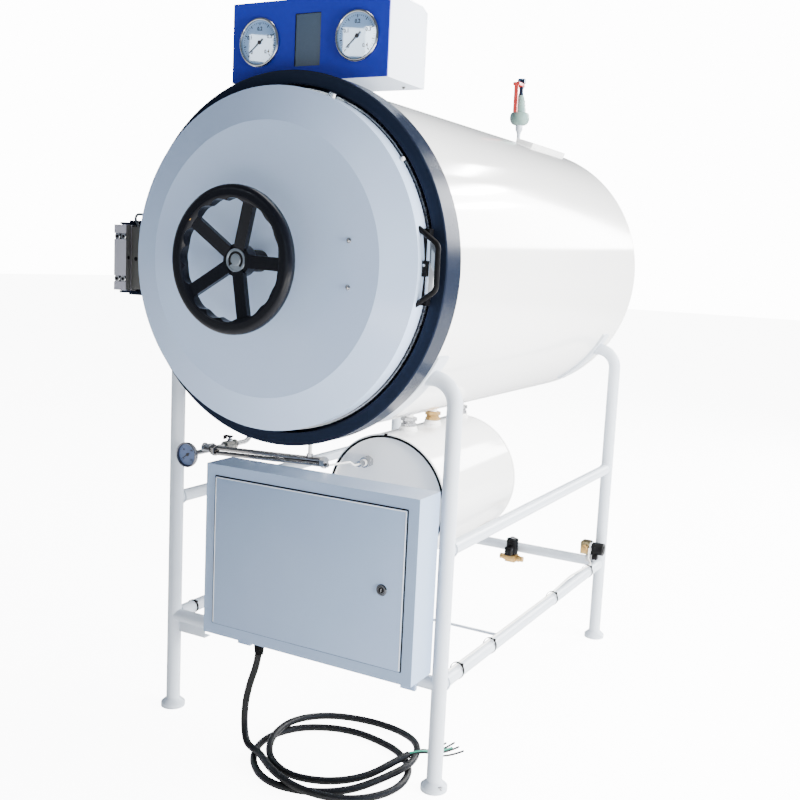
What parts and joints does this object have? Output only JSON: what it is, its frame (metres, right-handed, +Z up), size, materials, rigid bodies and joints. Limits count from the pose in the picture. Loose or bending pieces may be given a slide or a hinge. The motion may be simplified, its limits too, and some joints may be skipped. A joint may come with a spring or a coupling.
{
  "type": "horizontal autoclave",
  "caption": "Horizontal steam autoclave on a bent-tube frame: handwheel door, control box, safety valve, steam generator, electrical box and coiled power cable.",
  "frame": {"origin": "middle of the footprint, at floor level", "axes": "+X to the right seen from the door, +Y from the door to the rear head, +Z up"},
  "size_m": [0.9294, 1.715, 1.904],
  "materials": {
    "white_paint": "gloss white paint",
    "door_paint": "satin pale grey paint",
    "box_paint": "satin grey-white paint",
    "navy_paint": "gloss dark navy paint",
    "blue_paint": "gloss blue paint",
    "valve_paint": "worn grey-green paint",
    "stainless": "satin stainless steel",
    "bright_steel": "bright steel",
    "cap_metal": "satin silver",
    "gauge_steel": "polished bezel",
    "brass": "plain brass",
    "dark_plastic": "dark grey",
    "black_plastic": "matte black",
    "gloss_black": "gloss black",
    "red_plastic": "red dipped plastic",
    "gasket_rubber": "silicone rubber",
    "black_rubber": "matte black rubber"
  },
  "bodies": {
    "autoclave": {"flange_ring": "navy_paint", "outer_jacket": "white_paint", "rear_head": "white_paint", "chamber_shell": "stainless", "chamber_end": "stainless", "hinge_bracket": "navy_paint", "hinge_pin": "bright_steel", "control_box": "white_paint", "control_front": "blue_paint", "display_window": "dark_plastic", "gauge_left": "gauge_steel", "gauge_right": "gauge_steel", "electrical_box": "box_paint", "cable_gland": "black_plastic", "leg_front_left": "white_paint", "leg_front_right": "white_paint", "leg_rear_left": "white_paint", "leg_rear_right": "white_paint", "saddle_front": "white_paint", "saddle_rear": "white_paint", "cross_rail_front": "white_paint", "cross_rail_rear": "white_paint", "upper_rail_left": "white_paint", "upper_rail_right": "white_paint", "lower_rail_left": "white_paint", "lower_rail_right": "white_paint", "generator_shell": "white_paint", "generator_front": "white_paint", "generator_rear": "white_paint", "generator_probe": "bright_steel", "steam_risers": "stainless", "drain_header": "stainless", "drain_hand_valve": "bright_steel", "solenoid_valves": "brass", "safety_valve": "valve_paint", "top_cover": "white_paint", "power_cable": "black_rubber", "cable_coil": "black_rubber", "cable_cores": "black_rubber"},
    "door": {"door_cover": "door_paint", "door_plate": "stainless", "door_gasket": "gasket_rubber", "door_pull_handle": "black_plastic", "hinge_block": "bright_steel", "hinge_arms": "navy_paint", "spindle_boss": "black_plastic", "door_spindle": "bright_steel"},
    "wheel": {"handwheel": "gloss_black", "handwheel_cap": "cap_metal"},
    "box_door": {"electrical_box_door": "box_paint", "box_lock": "dark_plastic"},
    "test_lever": {"safety_lever": "red_plastic"}
  },
  "joints": [
    {"name": "door_swing", "type": "hinge", "parent": "autoclave", "child": "door", "pos_m": [-0.44475, -0.6825, 1.24], "axis": [0, 0, -1], "range_deg": [0, 120]},
    {"name": "wheel_turn", "type": "hinge", "parent": "door", "child": "wheel", "pos_m": [0.02025, -0.8435, 1.25], "axis": [0, -1, 0], "range_deg": [0, 360]},
    {"name": "box_door_swing", "type": "hinge", "parent": "autoclave", "child": "box_door", "pos_m": [-0.15275, -0.6641, 0.522], "axis": [0, 0, -1], "range_deg": [0, 120]},
    {"name": "lever_lift", "type": "hinge", "parent": "autoclave", "child": "test_lever", "pos_m": [0.02025, 0.6835, 1.88], "axis": [-1, 0, 0], "range_deg": [0, 25]}
  ]
}
